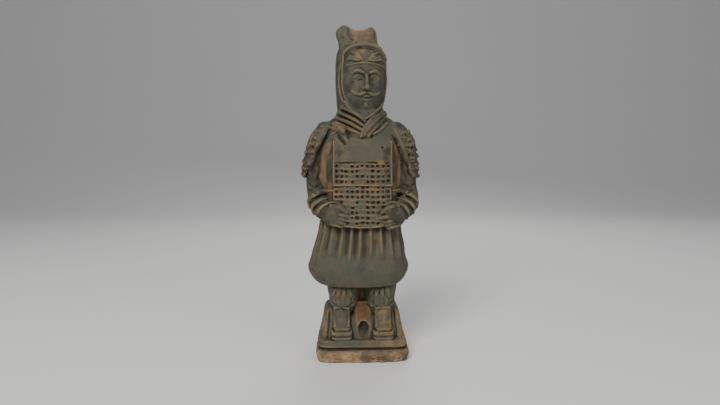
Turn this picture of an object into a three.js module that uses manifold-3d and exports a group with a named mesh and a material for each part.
// A small moulded clay statuette of an armoured warrior, standing on its own footed block.
// It is one piece of fired clay. Millimetres, +Z up. The figure faces -Y, and the origin is under the
// middle of its foot.
import * as THREE from "three";
import { LoftGeometry } from "three/addons/geometries/LoftGeometry.js";
import { mergeVertices } from "three/addons/utils/BufferGeometryUtils.js";
import Module from "manifold-3d";

const wasm = await Module();
wasm.setup();

// ---- driving dimensions -------------------------------------------------------------------------
const HEM_Z = 34.2;
const WAIST_Z = 64;
const BIB_TOP_Z = 105;
const BIB_HALF_WIDTH = 13.8;
const LAMELLAR_TOP_Z = 93.4;
const PLATE_ROWS = 10;
const ROWS_CLEAR_OF_HANDS = 5;
const PLATE_PITCH_Z = 2.86;
const ROW_GAP = 0.7;
const BACK_ROWS = 4;
const BACK_ROWS_TOP_Z = 101;
const BACK_PITCH_Z = 8.6;
const BACK_HALF_WIDTH = 14;
const HEAD_YAW = THREE.MathUtils.degToRad(8);
const PLEATS = 24;
const PLEAT_DEPTH = 0.75;
const TRUNK_COLUMNS = 20;
const LEG_X = 9.1;
const SHOE_X = 9.9;
const WRIST_X = 14.4;
const GUARD_LAMES = 6;
const LOWEST_LAME_Z = 86.2;
const LAMES_TOP_Z = 108.4;
const LAME_LAP = 0.9;
const GUARD_LEAN = 0.47;

// Each form is a stack of rounded sections: height z, half width a, half depth b, centre x and y, and
// squareness n.
const PLINTH = [
  { z: 0, a: 21.6, b: 20.4, x: 0, y: 0, n: 7 },
  { z: 5.7, a: 21.3, b: 20.0, x: 0, y: 0, n: 7 },
  { z: 6.2, a: 20.7, b: 19.2, x: 0, y: 0, n: 7 },
  { z: 6.8, a: 20.7, b: 19.2, x: 0, y: 0, n: 7 },
  { z: 7.3, a: 21.2, b: 19.8, x: 0, y: 0, n: 7 },
  { z: 8.6, a: 21.0, b: 19.3, x: 0, y: 0, n: 7 },
];
const BLOCK = [
  { z: 7.4, a: 21.0, b: 18.6, x: 0, y: 0.8, n: 6 },
  { z: 10, a: 20.6, b: 17.3, x: 0, y: 1.5, n: 6 },
  { z: 15.6, a: 19.5, b: 14.4, x: 0, y: 3.0, n: 6 },
  { z: 20.6, a: 18.4, b: 11.6, x: 0, y: 4.4, n: 5.5 },
  { z: 21.8, a: 17.6, b: 10.6, x: 0, y: 4.6, n: 5 },
];
const LEGS_BACK = [
  { z: 20, a: 15.6, b: 9.2, x: 0, y: 5, n: 4 },
  { z: 28, a: 15.8, b: 8.8, x: -0.4, y: 4.6, n: 3.5 },
  { z: 36, a: 17.6, b: 9.6, x: -0.8, y: 3.2, n: 3 },
];
const LEG = [
  { z: 20.5, a: 5.0, b: 8.0, x: 0, y: -2.6, n: 3 },
  { z: 22.6, a: 5.4, b: 8.4, x: 0, y: -3.2, n: 2.8 },
  { z: 25.2, a: 6.9, b: 9.6, x: 0, y: -4.0, n: 2.5 },
  { z: 28.5, a: 7.2, b: 9.9, x: 0, y: -4.2, n: 2.4 },
  { z: 32, a: 7.9, b: 9.4, x: 0, y: -4.1, n: 2.4 },
  { z: 36.5, a: 8.4, b: 8.8, x: 0, y: -4.0, n: 2.4 },
];
const SHOE = [
  { z: 7.6, a: 5.1, b: 9.6, x: 0, y: -9.9, n: 6 },
  { z: 11.0, a: 5.0, b: 9.5, x: 0, y: -9.8, n: 6 },
  { z: 11.5, a: 4.6, b: 9.0, x: 0, y: -9.6, n: 6 },
  { z: 12.1, a: 4.9, b: 8.9, x: 0, y: -9.7, n: 6 },
  { z: 13.9, a: 4.8, b: 8.6, x: 0, y: -9.2, n: 6 },
  { z: 14.3, a: 4.4, b: 7.6, x: 0, y: -8.6, n: 6 },
  { z: 15.1, a: 4.6, b: 7.8, x: 0, y: -8.3, n: 5 },
  { z: 24.5, a: 4.6, b: 6.6, x: 0, y: -4.6, n: 3 },
];
const SKIRT = [
  { z: HEM_Z, a: 18.4, b: 15.2, x: -1.4, y: -0.2, n: 2.5 },
  { z: 34.8, a: 19.8, b: 16.9, x: -1.4, y: -0.2, n: 2.5 },
  { z: 36.3, a: 21.9, b: 17.9, x: -1.4, y: -0.2, n: 2.5 },
  { z: 38.6, a: 23.7, b: 18.5, x: -1.4, y: -0.2, n: 2.5 },
  { z: 42.3, a: 24.9, b: 18.8, x: -1.4, y: -0.2, n: 2.5 },
  { z: 48.4, a: 22.9, b: 17.6, x: -1.3, y: -0.2, n: 2.5 },
  { z: 54.5, a: 21.2, b: 16.4, x: -0.9, y: -0.2, n: 2.5 },
  { z: 60.5, a: 19.8, b: 15.4, x: -0.7, y: -0.2, n: 2.5 },
  { z: WAIST_Z, a: 19.2, b: 15.0, x: -0.5, y: -0.2, n: 2.5 },
];
const TORSO = [
  { z: 62.6, a: 20.2, b: 15.4, x: 0, y: -0.9, n: 2.8 },
  { z: 63.6, a: 21.0, b: 16.1, x: 0, y: -1.0, n: 2.8 },
  { z: 72, a: 18.8, b: 15.2, x: 0, y: -0.9, n: 2.8 },
  { z: 83, a: 17.4, b: 13.9, x: 0, y: -0.4, n: 2.8 },
  { z: 93, a: 18.2, b: 13.2, x: 0, y: 0, n: 2.7 },
  { z: 102, a: 19.2, b: 12.2, x: 0, y: 0.3, n: 2.5 },
  { z: 107.5, a: 18.6, b: 11.2, x: 0, y: 0.5, n: 2.3 },
  { z: 111.5, a: 18.0, b: 10.4, x: 0, y: 0.6, n: 2.2 },
  { z: 114.2, a: 15.6, b: 9.8, x: 0, y: 0.6, n: 2.1 },
];
const SCARF = [
  { z: 105, a: 9.0, b: 10.6, x: -0.2, y: -1.6, n: 2 },
  { z: 109, a: 12.4, b: 11.2, x: -0.2, y: -1.2, n: 2 },
  { z: 113.5, a: 13.6, b: 11.4, x: -0.3, y: -0.4, n: 2.1 },
  { z: 116.5, a: 12.4, b: 11.0, x: -0.4, y: 0, n: 2.1 },
  { z: 119.5, a: 11.2, b: 10.2, x: -0.4, y: 0.4, n: 2.1 },
];
const HEAD = [
  { z: 116, a: 10.4, b: 9.6, x: -0.6, y: 0.6, n: 2.1 },
  { z: 124, a: 11.5, b: 11.6, x: -0.7, y: 0.2, n: 2.2 },
  { z: 130, a: 12.1, b: 12.2, x: -0.5, y: 0.2, n: 2.2 },
  { z: 137, a: 12.4, b: 12.5, x: -0.3, y: 0.2, n: 2.2 },
  { z: 143, a: 12.2, b: 12.1, x: -0.2, y: 0.3, n: 2.2 },
  { z: 147.5, a: 11.1, b: 10.6, x: -0.4, y: 0.6, n: 2.2 },
  { z: 150.4, a: 8.8, b: 8.2, x: -0.5, y: 1.0, n: 2.2 },
  { z: 151.6, a: 5.6, b: 5.6, x: -0.5, y: 1.2, n: 2.1 },
];
const TOPKNOT = [
  { z: 145.5, a: 9.6, b: 5.8, x: -0.6, y: 1.2, n: 2.8 },
  { z: 149.6, a: 9.9, b: 5.4, x: -0.8, y: 1.6, n: 2.8 },
  { z: 152.4, a: 9.4, b: 4.9, x: -1.3, y: 2.0, n: 3 },
  { z: 156.0, a: 10.0, b: 4.7, x: -2.1, y: 2.6, n: 3.2 },
  { z: 158.4, a: 9.7, b: 4.1, x: -2.2, y: 3.0, n: 3 },
  { z: 159.2, a: 8.9, b: 3.3, x: -2.2, y: 3.1, n: 2.8 },
];
// The topknot's flat top dips between two horns.
const TOPKNOT_DIP_Z = 157.9;
const HORNS = [
  { x: -8.4, rise: 2.3, width: 2.9 },
  { x: 4.9, rise: 2.3, width: 2.7 },
];

// The web of clay between the legs, and the arched niche under it.
const WEB = { low: [-4.6, -8.4, 14], high: [5.6, 6, 25.6] };
const LEG_WALL = { low: [-6.4, -1.4, 19], high: [6.4, 6, 36] };
const NICHE = { centre: [0.6, -13.8, 12.7], radii: [3.3, 3.4, 3.0] };

// Both forearms are set a little towards the figure's left.
const ELBOW_Z = 78;
const FOREARM_SHIFT = 0.8;
// A limb is a chain of oval sections along a path: centre x, y, z, half width across the body r and
// half depth d.
const ARM = [
  { x: 17.6, y: 0.5, z: 108.2, r: 5.2, d: 6.6 },
  { x: 21.4, y: 0.5, z: 102.5, r: 5.4, d: 7.0 },
  { x: 23.0, y: 0.4, z: 93, r: 4.5, d: 6.8 },
  { x: 23.0, y: -0.4, z: 83.5, r: 4.2, d: 6.4 },
  { x: 22.4, y: -2.6, z: 77, r: 4.8, d: 5.8 },
  { x: 20.6, y: -6.6, z: 72.6, r: 5.2, d: 5.2 },
  { x: 17.4, y: -11.2, z: 70.2, r: 4.7, d: 4.4 },
];
const GUARD_TOP_Z = 113.4;
const SHOULDER_GUARD = [
  { z: 84.6, a: 2.5, b: 5.0, x: 25.0, y: 0.4, n: 2.2 },
  { z: 87, a: 3.8, b: 7.0, x: 24.2, y: 0.4, n: 2.3 },
  { z: 91, a: 4.8, b: 8.0, x: 23.6, y: 0.4, n: 2.3 },
  { z: 97, a: 5.1, b: 8.3, x: 21.9, y: 0.4, n: 2.3 },
  { z: 103, a: 5.5, b: 8.2, x: 19.6, y: 0.4, n: 2.2 },
  { z: 108.4, a: 5.7, b: 7.8, x: 17.2, y: 0.4, n: 2.2 },
  { z: GUARD_TOP_Z, a: 4.4, b: 6.2, x: 15.6, y: 0.4, n: 2.1 },
];

// ---- shape helpers ------------------------------------------------------------------------------

// The closed mesh as a manifold-3d solid.
function solid(geometry) {
  const bare = geometry.index ? geometry.toNonIndexed() : geometry.clone();
  bare.deleteAttribute("normal");
  bare.deleteAttribute("uv");
  const merged = mergeVertices(bare, 1e-4);
  return new wasm.Manifold(
    new wasm.Mesh({
      numProp: 3,
      vertProperties: merged.attributes.position.array,
      triVerts: new Uint32Array(merged.index.array),
    }),
  );
}

// Reads a stack of sections at a height, with a smooth curve through them.
function sectionAt(stack, z) {
  const last = stack.length - 1;
  let i = 0;
  while (i < last - 1 && z > stack[i + 1].z) i++;
  const low = stack[i];
  const high = stack[i + 1];
  const t = Math.min(1, Math.max(0, (z - low.z) / (high.z - low.z)));
  const section = { z };
  for (const key of ["a", "b", "x", "y", "n"]) {
    const before = stack[Math.max(0, i - 1)];
    const after = stack[Math.min(last, i + 2)];
    const slopeLow = ((high[key] - before[key]) / (high.z - before.z)) * (high.z - low.z);
    const slopeHigh = ((after[key] - low[key]) / (after.z - low.z)) * (high.z - low.z);
    section[key] =
      low[key] * (1 - 3 * t * t + 2 * t * t * t) +
      high[key] * (3 * t * t - 2 * t * t * t) +
      slopeLow * (t - 2 * t * t + t * t * t) +
      slopeHigh * (t * t * t - t * t);
  }
  return section;
}

// A point of a rounded section, at an angle measured from +X.
function outlinePoint(section, angle) {
  const c = Math.cos(angle);
  const s = Math.sin(angle);
  return new THREE.Vector3(
    section.x + section.a * Math.sign(c) * Math.abs(c) ** (2 / section.n),
    section.y + section.b * Math.sign(s) * Math.abs(s) ** (2 / section.n),
    section.z,
  );
}

// A stacked form. shape(point, angle) may move each point, and heights are the rows it is cut into.
function stacked(stack, heights, columns, shape = (point) => point) {
  const sections = heights.map((z) =>
    Array.from({ length: columns }, (_, j) => {
      const angle = (j / columns) * 2 * Math.PI;
      return shape(outlinePoint(sectionAt(stack, z), angle), angle);
    }),
  );
  return solid(new LoftGeometry(sections, { capStart: true, capEnd: true }));
}

function heightsOf(stack) {
  return stack.map((section) => section.z);
}

// Where the front of a stacked form is at x, z.
function surfaceY(stack, x, z) {
  const s = sectionAt(stack, z);
  const across = Math.min(1, Math.abs((x - s.x) / s.a));
  return s.y - s.b * (1 - across ** s.n) ** (1 / s.n);
}

// A rope of round sections along points [x, y, z]. Its radius is a number or a function of the way
// along.
function rope(points, radius, sides, steps) {
  const curve = new THREE.CatmullRomCurve3(points.map((p) => new THREE.Vector3(...p)));
  const frames = curve.computeFrenetFrames(steps, false);
  const sections = Array.from({ length: steps + 1 }, (_, i) => {
    const t = i / steps;
    const centre = curve.getPointAt(t);
    const r = typeof radius === "function" ? radius(t) : radius;
    return Array.from({ length: sides }, (_, j) => {
      const angle = (j / sides) * 2 * Math.PI;
      return centre
        .clone()
        .addScaledVector(frames.normals[i], Math.cos(angle) * r)
        .addScaledVector(frames.binormals[i], Math.sin(angle) * r);
    });
  });
  return solid(new LoftGeometry(sections, { capStart: true, capEnd: true }));
}

// A ridge that follows a form's front through points [x, z].
function ridgeOn(stack, points, radius, steps) {
  const onSurface = points.map(([x, z]) => [x, surfaceY(stack, x, z), z]);
  return rope(onSurface, radius, 4, steps);
}

function ellipsoid(centre, radii, turn = [0, 0, 0], columns = 12, rows = 8) {
  const g = new THREE.SphereGeometry(1, columns, rows);
  g.scale(...radii);
  g.rotateX(turn[0]).rotateY(turn[1]).rotateZ(turn[2]);
  g.translate(...centre);
  return solid(g);
}

function box(low, high) {
  const g = new THREE.BoxGeometry(high[0] - low[0], high[1] - low[1], high[2] - low[2]);
  g.translate((low[0] + high[0]) / 2, (low[1] + high[1]) / 2, (low[2] + high[2]) / 2);
  return solid(g);
}

function union(parts) {
  return parts.reduce((whole, part) => whole.add(part));
}

// A form grown by a margin all round.
function grown(stack, margin) {
  return stack.map((s) => ({ ...s, a: s.a + margin, b: s.b + margin }));
}

// The surface of a joined or cut form.
function geometryOf(made) {
  const mesh = made.getMesh();
  const g = new THREE.BufferGeometry();
  g.setAttribute("position", new THREE.BufferAttribute(mesh.vertProperties, 3));
  g.setIndex(new THREE.BufferAttribute(mesh.triVerts, 1));
  return g;
}

// A form turned about +Z.
function turned(made, angle) {
  const g = geometryOf(made).rotateZ(angle);
  const vertProperties = g.attributes.position.array;
  return new wasm.Manifold(new wasm.Mesh({ numProp: 3, vertProperties, triVerts: g.index.array }));
}

// ---- the foot, shoes and legs -------------------------------------------------------------------

function foot() {
  const bulge = (p) => {
    const middle = 1 - Math.min(1, Math.abs(p.x) / 21.6) ** 2;
    if (p.y < -10) p.y -= 0.9 * middle;
    return p;
  };
  const plinth = stacked(PLINTH, heightsOf(PLINTH), 20, bulge);
  const block = stacked(BLOCK, heightsOf(BLOCK), 20);
  const web = box(WEB.low, WEB.high);
  const wall = box(LEG_WALL.low, LEG_WALL.high);
  return union([plinth, block, web, wall]).subtract(ellipsoid(NICHE.centre, NICHE.radii));
}

function shod(side) {
  const at = (stack, dx) => stack.map((s) => ({ ...s, x: s.x + dx }));
  const leg = stacked(at(LEG, side * LEG_X), heightsOf(LEG), 12);
  const shoe = stacked(at(SHOE, side * SHOE_X), heightsOf(SHOE), 12);
  // The bow tied below the knee.
  const bow = [-3.9, -1.3, 1.3, 3.9].map((dx) => {
    const centre = [side * LEG_X + dx, -13.3 + 0.12 * dx * dx, 31.0 - 0.3 * Math.abs(dx)];
    return ellipsoid(centre, [1.0, 1.2, 2.6], [0, dx * 0.09, 0], 6, 3);
  });
  return union([leg, shoe, ...bow]);
}

// ---- skirt and trunk ----------------------------------------------------------------------------

// How far the pleats stand out at a height: none at the hem band, most below the belt.
function pleatDepth(z) {
  return PLEAT_DEPTH * THREE.MathUtils.smoothstep(z, 43, 50);
}

function skirt() {
  const pleated = (p, angle) => {
    const depth = pleatDepth(p.z) * Math.cos(PLEATS * angle);
    p.x += depth * Math.cos(angle);
    p.y += depth * Math.sin(angle);
    return p;
  };
  const heights = [HEM_Z, 35.6, 39, 42.8, 47, 52, WAIST_Z];
  return stacked(SKIRT, heights, PLEATS * 2, pleated);
}

function trunk() {
  const body = stacked(TORSO, heightsOf(TORSO), TRUNK_COLUMNS);
  const shell = stacked(grown(TORSO, 0.9), heightsOf(TORSO).slice(1, 7), TRUNK_COLUMNS);
  const bib = shell.intersect(box([-BIB_HALF_WIDTH, -22, 60], [BIB_HALF_WIDTH, 0, BIB_TOP_Z]));
  const backHalf = BACK_HALF_WIDTH + 1;
  const backPlate = shell.intersect(box([-backHalf, 0, 60], [backHalf, 22, BIB_TOP_Z]));
  return union([body, bib, backPlate]);
}

// The sewn plates: raised rows across the lower bib, and broader ones down the back.
function plateRows() {
  const raised = stacked(grown(TORSO, 1.5), heightsOf(TORSO).slice(1, 6), TRUNK_COLUMNS);
  const rows = [];
  for (let row = 0; row < PLATE_ROWS; row++) {
    const top = LAMELLAR_TOP_Z - row * PLATE_PITCH_Z;
    const tuck = row > ROWS_CLEAR_OF_HANDS ? 0.1 * row * row : 0;
    const half = BIB_HALF_WIDTH - 1 - tuck;
    rows.push(box([-half, -22, top - PLATE_PITCH_Z + ROW_GAP], [half, -4, top]));
  }
  for (let row = 0; row < BACK_ROWS; row++) {
    const top = BACK_ROWS_TOP_Z - row * BACK_PITCH_Z;
    const low = [-BACK_HALF_WIDTH, 4, top - BACK_PITCH_Z + ROW_GAP];
    rows.push(box(low, [BACK_HALF_WIDTH, 22, top]));
  }
  return raised.intersect(union(rows));
}

// ---- arms, shoulder guards, hands ---------------------------------------------------------------

function arm(side) {
  const shift = (p) => (p.z < ELBOW_Z ? FOREARM_SHIFT : 0);
  const points = ARM.map((p) => new THREE.Vector3(side * p.x + shift(p), p.y, p.z));
  const curve = new THREE.CatmullRomCurve3(points);
  const steps = 8;
  const sides = 10;
  const frames = Array.from({ length: steps + 1 }, (_, i) => {
    const t = i / steps;
    const k = Math.min(ARM.length - 2, Math.floor(t * (ARM.length - 1)));
    const u = t * (ARM.length - 1) - k;
    const r = THREE.MathUtils.lerp(ARM[k].r, ARM[k + 1].r, u);
    const d = THREE.MathUtils.lerp(ARM[k].d, ARM[k + 1].d, u);
    const centre = curve.getPoint(t);
    const along = curve.getTangent(t);
    const back = new THREE.Vector3(0, 1, 0).addScaledVector(along, -along.y).normalize();
    const across = new THREE.Vector3().crossVectors(along, back).normalize();
    return { centre, back, across, r, d };
  });
  const sections = frames.map(({ centre, back, across, r, d }) =>
    Array.from({ length: sides }, (_, j) => {
      const angle = (j / sides) * 2 * Math.PI;
      return centre
        .clone()
        .addScaledVector(back, Math.cos(angle) * d)
        .addScaledVector(across, Math.sin(angle) * r);
    }),
  );
  const sleeve = solid(new LoftGeometry(sections, { capStart: true, capEnd: true }));
  const cuffs = [0.74, 0.88].map((t, i) => {
    const f = frames[Math.round(t * steps)];
    const ring = Array.from({ length: 7 }, (_, j) => {
      const angle = (0.5 + (j / 6) * 1.5) * Math.PI;
      return f.centre
        .clone()
        .addScaledVector(f.back, Math.cos(angle) * f.d)
        .addScaledVector(f.across, -side * Math.sin(angle) * f.r)
        .toArray();
    });
    return rope(ring, 0.95 - 0.15 * i, 4, 5);
  });
  // The mould leaves a wall of clay between the arm and the body.
  const wall = side < 0 ? box([-22.5, -4, 74], [-13, 5, 105]) : box([13, -4, 74], [22.5, 5, 105]);
  return union([sleeve, wall, ...cuffs]);
}

function shoulderGuard(side) {
  const stack = SHOULDER_GUARD.map((s) => ({ ...s, x: side * s.x - 0.5 }));
  const pitch = (LAMES_TOP_Z - LOWEST_LAME_Z) / GUARD_LAMES;
  const heights = [SHOULDER_GUARD[0].z];
  for (let i = 0; i < GUARD_LAMES; i++) {
    const lower = LOWEST_LAME_Z + i * pitch;
    heights.push(lower, lower + 0.86 * pitch);
  }
  heights.push(GUARD_TOP_Z);
  // Each lame hangs over the one below, so its lower edge stands out.
  const lapped = (p, angle) => {
    const within = ((p.z - LOWEST_LAME_Z) / pitch + 1e-6) % 1;
    const onLames = p.z > LOWEST_LAME_Z - 0.2 && p.z < LAMES_TOP_Z + 0.6;
    const proud = onLames ? LAME_LAP * (1 - within) : 0;
    p.x += proud * Math.cos(angle);
    p.y += proud * Math.sin(angle);
    return p;
  };
  const whole = stacked(stack, heights, 14, lapped);
  // The front and back edges slope down and outwards across the upper arm.
  const slope = new THREE.BoxGeometry(20, 60, 60);
  slope.translate(10, 0, 0);
  slope.rotateY(side * -GUARD_LEAN);
  if (side > 0) slope.rotateZ(Math.PI).rotateX(Math.PI);
  slope.translate(side * 20.2, 0, 97.4);
  return whole.subtract(solid(slope));
}

function hand(side) {
  const inward = -side;
  const wrist = side * WRIST_X + FOREARM_SHIFT;
  const palm = ellipsoid([wrist, -14.6, 69.0], [5.2, 3.6, 4.3], [0, side * 0.2, 0], 10, 5);
  const fingers = [0, 1, 2, 3].map((i) => {
    const z = 71.2 - i * 2.0;
    const length = 8.6 - 0.7 * Math.abs(i - 1);
    return rope(
      [
        [wrist, -16.4, z],
        [wrist + inward * 3, -17.9, z - 0.3],
        [wrist + inward * length, -18.0, z - 0.9],
      ],
      (t) => 1.18 - 0.25 * t,
      4,
      1,
    );
  });
  const thumb = rope(
    [
      [wrist - inward, -14.8, 72.6],
      [wrist + inward * 2.2, -16.6, 73.2],
      [wrist + inward * 5.2, -17.2, 72.4],
    ],
    (t) => 1.3 - 0.3 * t,
    4,
    2,
  );
  return union([palm, ...fingers, thumb]);
}

// ---- scarf and ribbons --------------------------------------------------------------------------

function scarf() {
  const body = stacked(SCARF, heightsOf(SCARF), 16);
  const leftFolds = [
    [[-10.0, 119.0], [-5.6, 114.4], [1.0, 110.8]],
    [[-11.4, 116.0], [-6.4, 111.4], [0.2, 108.0]],
    [[-11.8, 112.6], [-6.6, 108.6], [-0.8, 106.4]],
  ];
  const rightFolds = [
    [[9.6, 118.8], [5.8, 113.6], [-0.6, 105.6]],
    [[11.2, 115.8], [7.6, 110.8], [2.2, 106.0]],
    [[11.6, 112.6], [9.2, 109.4], [5.6, 107.0]],
  ];
  const folds = [...leftFolds, ...rightFolds].map((points) => ridgeOn(SCARF, points, 1.0, 3));
  return union([body, ...folds]);
}

// The ribbon that ties the armour at one shoulder: a knot and two short tails.
function shoulderRibbon() {
  const x = -10.6;
  const z = 108.8;
  const y = surfaceY(TORSO, x, z) - 0.3;
  const tail = (dx, dz, turn) => {
    const centre = [x + dx, surfaceY(TORSO, x + dx, z + dz) - 0.3, z + dz];
    return ellipsoid(centre, [0.95, 1.3, 2.7], [0, turn, 0], 5, 4);
  };
  const knot = ellipsoid([x, y, z], [1.7, 1.5, 1.4], [0, 0, 0], 6, 3);
  return union([knot, tail(1.2, -2.6, -0.35), tail(-2.6, 1.0, 1.0), tail(1.6, 1.6, 0.9)]);
}

// ---- head ---------------------------------------------------------------------------------------

function face() {
  const mask = ellipsoid([0.2, -7.2, 129.6], [8.6, 6.2, 11.6], [0, 0, 0], 12, 7);
  const nose = rope(
    [
      [0.2, -12.2, 134.2],
      [0.2, -13.9, 130.6],
      [0.2, -14.6, 128.2],
    ],
    (t) => 0.8 + 0.8 * t,
    5,
    2,
  );
  const paired = (make) => [make(-1), make(1)];
  const brows = paired((s) =>
    rope([[s * 1.6, -12.9, 134.2], [s * 4.4, -12.6, 135.7], [s * 7.0, -10.9, 134.9]], 0.65, 4, 2),
  );
  const eyes = paired((s) => ellipsoid([s * 3.9, -12.4, 132.2], [1.9, 0.9, 0.85], [0, 0, 0], 6, 4));
  const moustache = paired((s) =>
    rope([[s * 0.7, -13.7, 126.3], [s * 3.4, -13.2, 125.5], [s * 6.2, -11.7, 126.6]],
      (t) => 0.9 - 0.45 * t, 4, 2),
  );
  const lip = ellipsoid([0.2, -13.0, 123.5], [2.3, 0.9, 0.75], [0, 0, 0], 6, 4);
  const beard = ellipsoid([0.2, -12.2, 120.6], [1.1, 1.0, 1.8], [0, 0, 0], 5, 4);
  return union([mask, nose, ...brows, ...eyes, ...moustache, lip, beard]);
}

function headgear() {
  const strap = [
    [-10.4, 146.5], [-11.0, 138], [-10.4, 128], [-7.2, 120.4], [0.2, 116.6],
    [7.6, 120.4], [10.4, 128], [11.0, 138], [10.4, 146.5],
  ];
  const rim = [[-10.2, 146.4], [-5.6, 149.0], [0.2, 149.6], [5.8, 149.0], [10.2, 146.4]];
  const fillet = [[-10.8, 139.2], [-5.4, 140.2], [0.2, 140.4], [5.4, 140.2], [10.8, 139.2]];
  const lock = (s) => ellipsoid([s * 5.2, -9.7, 143.8], [4.6, 2.2, 1.9], [0.25, s * 0.32, s * 0.42], 6, 4);
  return union([
    ridgeOn(HEAD, strap, 0.95, 10),
    ridgeOn(HEAD, rim, 0.85, 4),
    ridgeOn(HEAD, fillet, 0.7, 4),
    lock(-1),
    lock(1),
  ]);
}

function topknot() {
  const topAt = (x) => {
    const horns = HORNS.map((horn) => horn.rise * Math.exp(-(((x - horn.x) / horn.width) ** 2)));
    return TOPKNOT_DIP_Z + horns[0] + horns[1];
  };
  const flat = TOPKNOT[TOPKNOT.length - 1].z;
  const horned = (p) => {
    p.z += THREE.MathUtils.smoothstep(p.z, 152.4, flat) * (topAt(p.x) - flat);
    return p;
  };
  const cloth = stacked(TOPKNOT, heightsOf(TOPKNOT), 20, horned);
  const crease = rope([[-6.2, -2.6, 158.6], [-4.6, -3.4, 154.6], [-3.2, -4.4, 150.6]], 0.6, 5, 4);
  return cloth.subtract(crease);
}

function head() {
  const skull = stacked(HEAD, heightsOf(HEAD), 18);
  const bun = ellipsoid([0, 12.0, 131], [4.8, 2.6, 8.2], [0, 0, 0], 8, 5);
  const parts = union([skull, bun, face(), headgear(), topknot()]);
  return turned(parts, HEAD_YAW);
}

// ---- the statue ---------------------------------------------------------------------------------

function statue() {
  const legsBack = stacked(LEGS_BACK, heightsOf(LEGS_BACK), 20);
  const pieces = [foot(), legsBack, skirt(), trunk(), plateRows(), scarf(), shoulderRibbon(), head()];
  for (const side of [-1, 1]) pieces.push(shod(side), arm(side), shoulderGuard(side), hand(side));
  return union(pieces);
}

// The form's surface, moved so that it stands at z = 0 with the middle of its box over the origin.
function centred(made) {
  const g = geometryOf(made);
  g.computeBoundingBox();
  const { min, max } = g.boundingBox;
  return g.translate(-(min.x + max.x) / 2, -(min.y + max.y) / 2, -min.z);
}

const firedClay = new THREE.MeshStandardMaterial({ color: 0x5f5c4d, roughness: 0.85, metalness: 0 });

const warrior = new THREE.Mesh(centred(statue()), firedClay);
warrior.name = "warrior";

const part = new THREE.Group();
part.add(warrior);

export default part;
